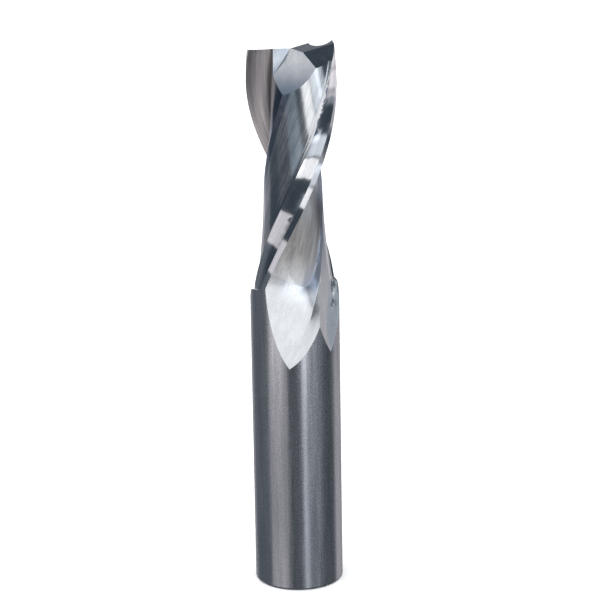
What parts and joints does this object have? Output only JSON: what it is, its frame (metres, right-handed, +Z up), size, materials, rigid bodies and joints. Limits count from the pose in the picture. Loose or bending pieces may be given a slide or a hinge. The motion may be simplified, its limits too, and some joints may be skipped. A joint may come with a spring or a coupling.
{
  "type": "router bit",
  "caption": "Solid carbide spiral up-cut router bit on a straight round shank, for plunging, grooving and side cutting.",
  "frame": {"origin": "centre of the shank's flat end, on the bit's axis", "axes": "+Z up the axis, from the shank's end to the cutting tip; -Y faces the viewer of the reference picture"},
  "size_m": [0.012, 0.012, 0.075],
  "materials": {
    "carbide": "ground tungsten carbide: dark satin shank with a fine lengthways grain, bright fluted part"
  },
  "bodies": {
    "root": {"router_bit": "carbide"}
  },
  "joints": []
}
